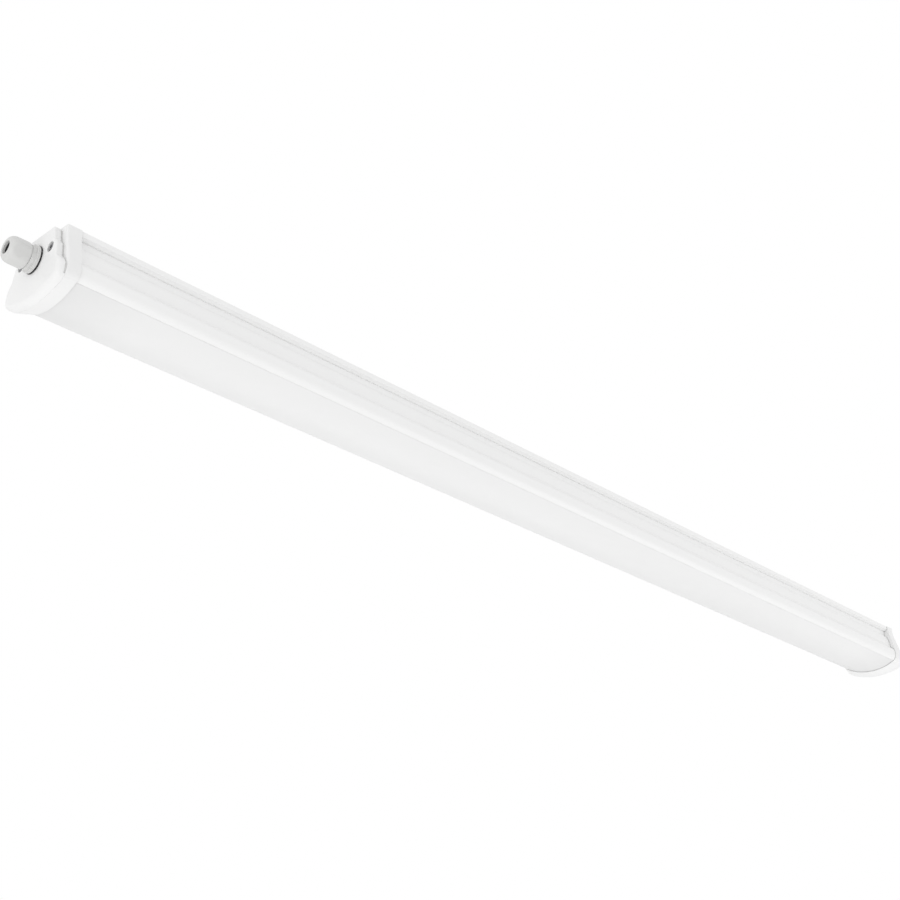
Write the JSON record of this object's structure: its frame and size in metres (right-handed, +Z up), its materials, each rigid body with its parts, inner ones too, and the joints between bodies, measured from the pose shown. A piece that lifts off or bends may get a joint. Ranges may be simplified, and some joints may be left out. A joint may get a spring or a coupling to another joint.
{
  "type": "sealed linear light",
  "caption": "Long narrow sealed light with an opal underside, screwed end covers and a cable gland at one end, hung flat under a cabinet or ceiling.",
  "frame": {"origin": "middle of the flat back of the housing, which lies against the ceiling or cabinet", "axes": "+Z up out of the back, +X along the light from the cable gland to the blank end"},
  "size_m": [1.223, 0.077, 0.0565],
  "materials": {
    "white_plastic": "satin moulded white",
    "opal_plastic": "frosted opal",
    "grey_plastic": "light grey satin",
    "black_rubber": "matt black",
    "grey_silicone": "soft light grey",
    "screw_steel": "bright stainless",
    "tray_metal": "mill finish",
    "led_board": "white solder mask with yellow chips",
    "circuit_board": "green circuit board",
    "orange_plastic": "moulded orange",
    "brown_wire": "insulated wire",
    "blue_wire": "insulated wire",
    "green_wire": "insulated wire",
    "red_wire": "insulated wire",
    "black_wire": "insulated wire"
  },
  "bodies": {
    "light_body": {"housing": "white_plastic", "diffuser": "opal_plastic", "gear_tray": "tray_metal", "led_board_1": "led_board", "led_board_2": "led_board", "board_rivet_1": "tray_metal", "board_rivet_2": "tray_metal", "board_rivet_3": "tray_metal", "board_rivet_4": "tray_metal", "board_link": "white_plastic", "driver_case": "white_plastic", "driver_lid": "white_plastic", "driver_board": "circuit_board", "driver_screw_1": "screw_steel", "driver_screw_2": "screw_steel", "terminal_block": "white_plastic", "wire_live": "brown_wire", "wire_neutral": "blue_wire", "wire_earth": "green_wire", "wire_output_plus": "red_wire", "wire_output_minus": "black_wire", "earth_lug": "screw_steel", "earth_screw": "screw_steel", "near_collar": "white_plastic", "near_gasket": "grey_silicone", "far_collar": "white_plastic", "far_gasket": "grey_silicone"},
    "near_end_cover": {"near_cover": "white_plastic", "gland_body": "grey_plastic", "gland_o_ring": "black_rubber", "gland_locknut": "grey_plastic"},
    "near_washer_1": {"near_screw_1_washer": "black_rubber"},
    "near_bolt_1": {"near_screw_1": "screw_steel"},
    "near_washer_2": {"near_screw_2_washer": "black_rubber"},
    "near_bolt_2": {"near_screw_2": "screw_steel"},
    "cable_seal": {"gland_seal": "black_rubber"},
    "dome_nut": {"gland_dome_nut": "grey_plastic"},
    "far_end_cover": {"far_cover": "white_plastic"},
    "far_washer_1": {"far_screw_1_washer": "black_rubber"},
    "far_bolt_1": {"far_screw_1": "screw_steel"},
    "far_washer_2": {"far_screw_2_washer": "black_rubber"},
    "far_bolt_2": {"far_screw_2": "screw_steel"},
    "release_button_1": {"terminal_button_1": "orange_plastic"},
    "release_button_2": {"terminal_button_2": "orange_plastic"},
    "release_button_3": {"terminal_button_3": "orange_plastic"}
  },
  "joints": [
    {"name": "near_cover_pull", "type": "slide", "parent": "light_body", "child": "near_end_cover", "axis": [-1, 0, 0], "range_m": [0, 0.04]},
    {"name": "near_screw_1_rise", "type": "slide", "parent": "near_end_cover", "child": "near_washer_1", "axis": [-1, 0, 0], "range_m": [0, 0.0072]},
    {"name": "near_screw_1_turn", "type": "hinge", "parent": "near_washer_1", "child": "near_bolt_1", "pos_m": [-0.6, -0.0202, -0.01929], "axis": [-1, 0, 0], "range_deg": [0, 1460]},
    {"name": "near_screw_2_rise", "type": "slide", "parent": "near_end_cover", "child": "near_washer_2", "axis": [-1, 0, 0], "range_m": [0, 0.0072]},
    {"name": "near_screw_2_turn", "type": "hinge", "parent": "near_washer_2", "child": "near_bolt_2", "pos_m": [-0.6, 0.0202, -0.01929], "axis": [-1, 0, 0], "range_deg": [0, 1460]},
    {"name": "seal_ease", "type": "slide", "parent": "near_end_cover", "child": "cable_seal", "axis": [-1, 0, 0], "range_m": [0, 0.003]},
    {"name": "dome_nut_turn", "type": "hinge", "parent": "cable_seal", "child": "dome_nut", "pos_m": [-0.6, 0, -0.02221], "axis": [-1, 0, 0], "range_deg": [0, 730]},
    {"name": "far_cover_pull", "type": "slide", "parent": "light_body", "child": "far_end_cover", "axis": [1, 0, 0], "range_m": [0, 0.04]},
    {"name": "far_screw_1_rise", "type": "slide", "parent": "far_end_cover", "child": "far_washer_1", "axis": [1, 0, 0], "range_m": [0, 0.0072]},
    {"name": "far_screw_1_turn", "type": "hinge", "parent": "far_washer_1", "child": "far_bolt_1", "pos_m": [0.6, 0.0202, -0.01929], "axis": [1, 0, 0], "range_deg": [0, 1460]},
    {"name": "far_screw_2_rise", "type": "slide", "parent": "far_end_cover", "child": "far_washer_2", "axis": [1, 0, 0], "range_m": [0, 0.0072]},
    {"name": "far_screw_2_turn", "type": "hinge", "parent": "far_washer_2", "child": "far_bolt_2", "pos_m": [0.6, -0.0202, -0.01929], "axis": [1, 0, 0], "range_deg": [0, 1460]},
    {"name": "release_1_press", "type": "slide", "parent": "light_body", "child": "release_button_1", "axis": [1, 0, 0], "range_m": [0, 0.0015], "stiffness_N_per_m": 300, "springref_m": -0.001},
    {"name": "release_2_press", "type": "slide", "parent": "light_body", "child": "release_button_2", "axis": [1, 0, 0], "range_m": [0, 0.0015], "stiffness_N_per_m": 300, "springref_m": -0.001},
    {"name": "release_3_press", "type": "slide", "parent": "light_body", "child": "release_button_3", "axis": [1, 0, 0], "range_m": [0, 0.0015], "stiffness_N_per_m": 300, "springref_m": -0.001}
  ],
  "couplings": [
    {"joint": "near_screw_1_turn", "follows": "near_screw_1_rise", "rad_per_m": 3490.7},
    {"joint": "near_screw_2_turn", "follows": "near_screw_2_rise", "rad_per_m": 3490.7},
    {"joint": "far_screw_1_turn", "follows": "far_screw_1_rise", "rad_per_m": 3490.7},
    {"joint": "far_screw_2_turn", "follows": "far_screw_2_rise", "rad_per_m": 3490.7},
    {"joint": "dome_nut_turn", "follows": "seal_ease", "rad_per_m": 4188.8}
  ]
}
